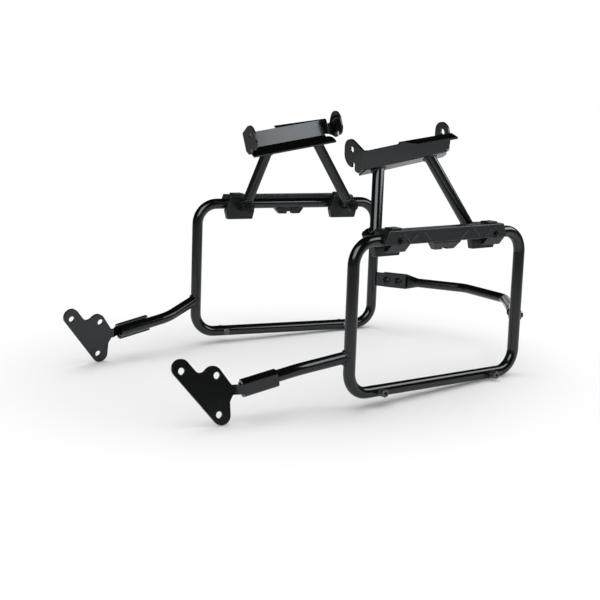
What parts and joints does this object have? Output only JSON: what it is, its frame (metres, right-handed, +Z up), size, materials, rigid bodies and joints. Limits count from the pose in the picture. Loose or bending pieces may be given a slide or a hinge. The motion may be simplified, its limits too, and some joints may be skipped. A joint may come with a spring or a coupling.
{
  "type": "soft bag carrier",
  "caption": "Pair of tubular side racks that hang soft bags on a motorbike: toed-in loops with a bag rail, foot plates, raised brackets and a rear brace.",
  "frame": {"origin": "on the bike's mid-plane, under the middle of the set, level with its lowest point", "axes": "+X to the bike's rear, +Y to its right, +Z up along the loops' uprights"},
  "size_m": [0.7136, 0.5188, 0.4216],
  "materials": {
    "black_coat": "satin black powder coat",
    "moulded_plastic": "fine-grained matte black moulding",
    "dark_fastener": "black-plated steel"
  },
  "bodies": {
    "root": {"rack_loop_right": "black_coat", "rack_loop_left": "black_coat", "front_arm_right": "black_coat", "front_arm_left": "black_coat", "front_plate_right": "black_coat", "front_plate_left": "black_coat", "upper_bracket_right": "black_coat", "upper_bracket_left": "black_coat", "front_strut_right": "black_coat", "front_strut_left": "black_coat", "rear_strut_right": "black_coat", "rear_strut_left": "black_coat", "front_bush_right": "black_coat", "front_bush_left": "black_coat", "rear_bush_right": "black_coat", "rear_bush_left": "black_coat", "brace_tab_right": "black_coat", "brace_tab_left": "black_coat", "bag_rail_right": "moulded_plastic", "bag_rail_left": "moulded_plastic", "front_clamp_right": "moulded_plastic", "front_clamp_left": "moulded_plastic", "rear_clamp_right": "moulded_plastic", "rear_clamp_left": "moulded_plastic", "rail_bolts_right": "dark_fastener", "rail_bolts_left": "dark_fastener", "rail_nuts_right": "dark_fastener", "rail_nuts_left": "dark_fastener", "lower_pegs_right": "dark_fastener", "lower_pegs_left": "dark_fastener", "cross_brace": "black_coat", "brace_bolts": "dark_fastener", "brace_nuts": "dark_fastener", "ear_sleeve_right": "black_coat"}
  },
  "joints": []
}
